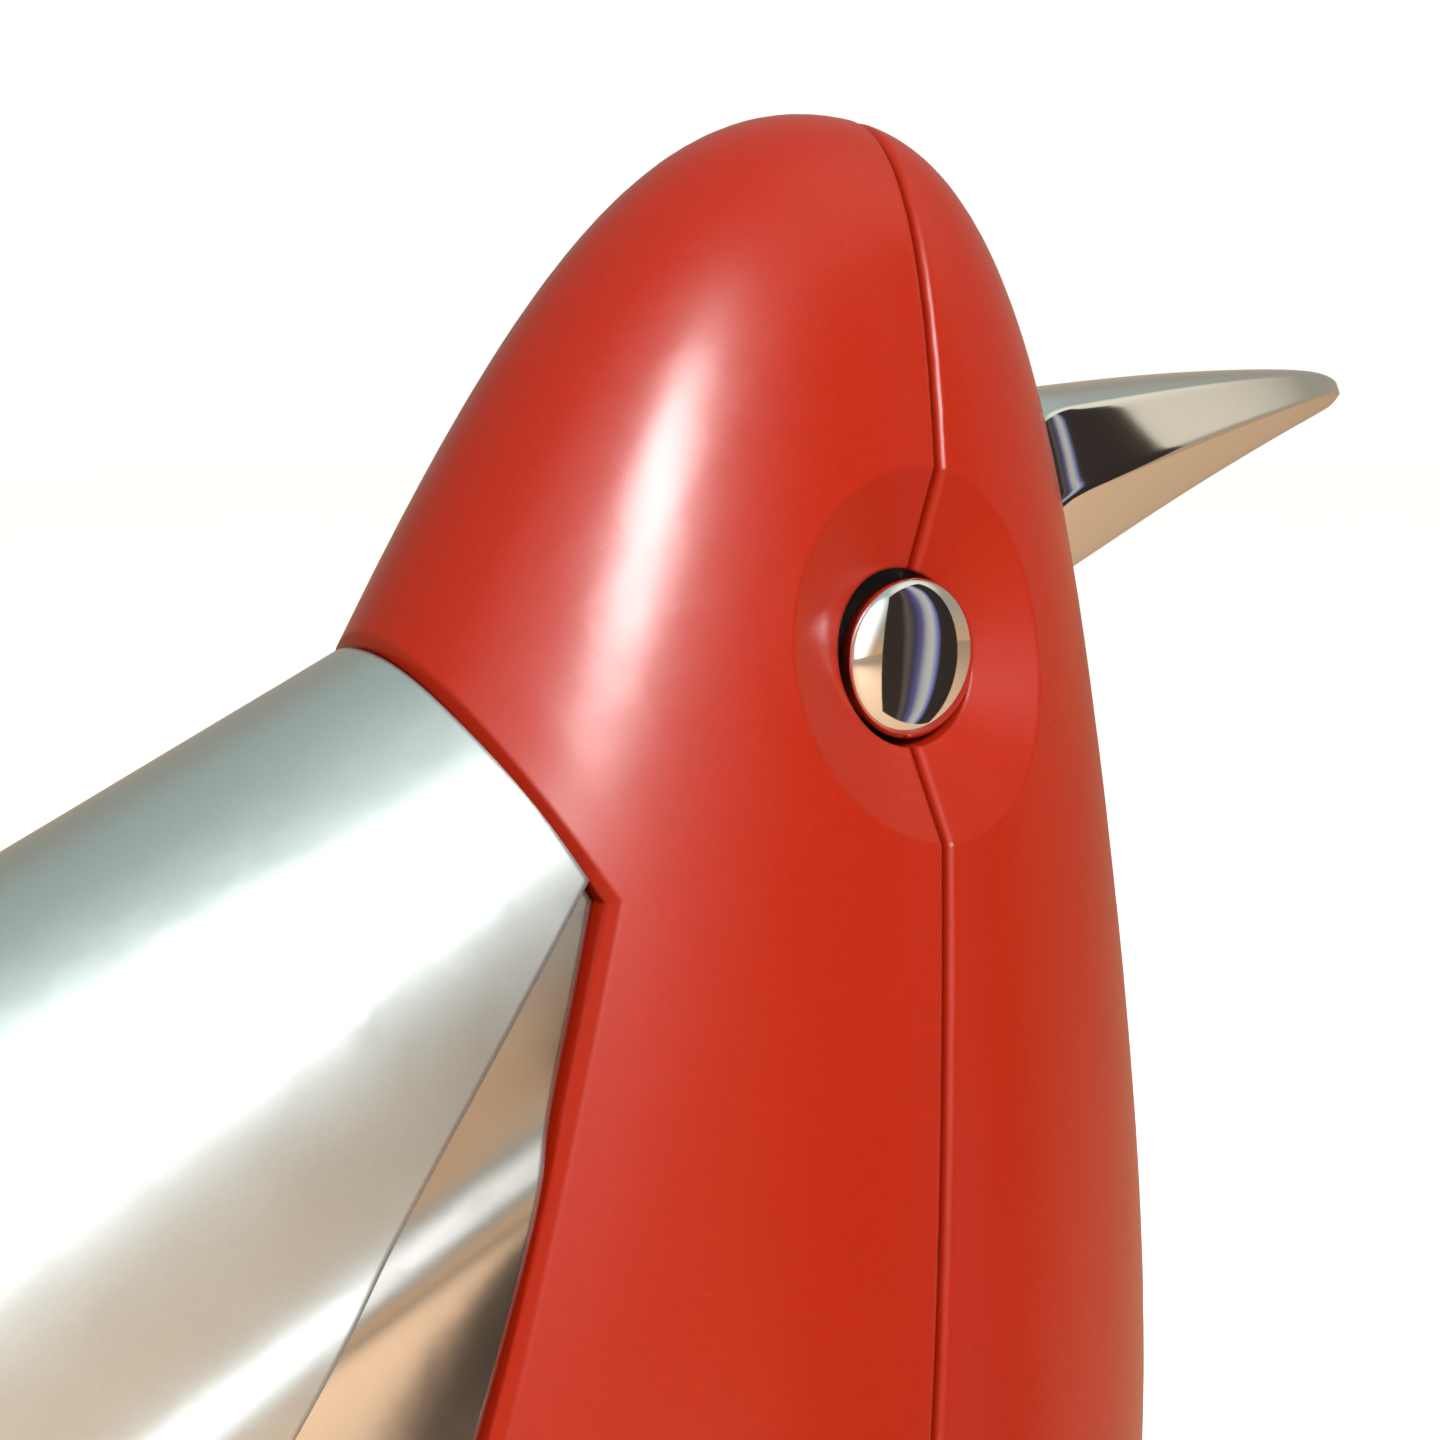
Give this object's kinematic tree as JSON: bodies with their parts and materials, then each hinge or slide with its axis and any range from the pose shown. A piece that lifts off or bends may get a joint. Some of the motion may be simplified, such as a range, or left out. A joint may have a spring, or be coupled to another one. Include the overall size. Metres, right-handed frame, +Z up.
{
  "type": "dipping bird desk toy",
  "caption": "Dipping bird desk toy: rigid two-part bird body with beak and tail cover, rocking on an axle between two legs on an oval base.",
  "frame": {"origin": "on the table, at the centre of the base pad's underside, straight below the axle", "axes": "+Z up, +X towards the beak, the axle along Y"},
  "size_m": [0.1319, 0.0868, 0.1556],
  "materials": {
    "red_shell": "satin lacquered red",
    "silver_cover": "satin silver",
    "tail_chrome": "polished",
    "beak_chrome": "polished",
    "button_chrome": "polished",
    "stand_chrome": "polished",
    "black_plastic": "moulded",
    "base_black": "gloss moulded",
    "steel": "plain",
    "weight_iron": "as cast",
    "magnet_plate": "nickel plated",
    "bush_brass": "turned",
    "pad_rubber": "matt",
    "copper": "enamelled wire",
    "board_green": "laminate",
    "cell_wrap": "printed-free wrap"
  },
  "bodies": {
    "stand": {"left_leg": "stand_chrome", "right_leg": "stand_chrome", "left_bush": "bush_brass", "right_bush": "bush_brass", "left_axle_cap": "stand_chrome", "right_axle_cap": "stand_chrome", "stop_pin": "steel", "leg_screws": "steel", "base_housing": "base_black", "trim_ring": "stand_chrome", "bottom_plate": "black_plastic", "ballast_plate": "weight_iron", "base_pad": "pad_rubber", "base_screws": "steel", "coil_bobbin": "black_plastic", "coil_winding": "copper", "coil_core": "steel", "circuit_board": "board_green", "board_parts": "black_plastic", "board_screws": "steel", "switch_body": "black_plastic"},
    "bird": {"front_shell": "red_shell", "rear_shell": "red_shell", "beak": "beak_chrome", "inner_frame": "black_plastic", "wing_cover": "silver_cover", "tail_core": "tail_chrome", "eye_button_left": "button_chrome", "eye_button_right": "button_chrome", "eye_cup_left": "black_plastic", "eye_cup_right": "black_plastic", "eye_tie_rod": "steel", "frame_screws": "steel", "rear_shell_screws": "steel", "tail_screws": "steel", "wing_cover_screws": "steel", "beak_screws": "steel", "bob_screws": "steel", "bob_weight": "weight_iron", "drive_magnet": "magnet_plate", "axle": "steel", "plain_collar": "stand_chrome", "stop_collar": "stand_chrome"},
    "battery_tray": {"battery_tray": "base_black", "battery_cells": "cell_wrap", "battery_contacts": "steel"},
    "switch": {"switch_knob": "stand_chrome"}
  },
  "joints": [
    {"name": "bird_rock", "type": "hinge", "parent": "stand", "child": "bird", "pos_m": [0, 0, 0.077], "axis": [0, 1, 0], "range_deg": [-12, 62]},
    {"name": "battery_tray_slide", "type": "slide", "parent": "stand", "child": "battery_tray", "axis": [-1, 0, 0], "range_m": [0, 0.04]},
    {"name": "power_switch_slide", "type": "slide", "parent": "stand", "child": "switch", "axis": [0, 1, 0], "range_m": [0, 0.004]}
  ]
}
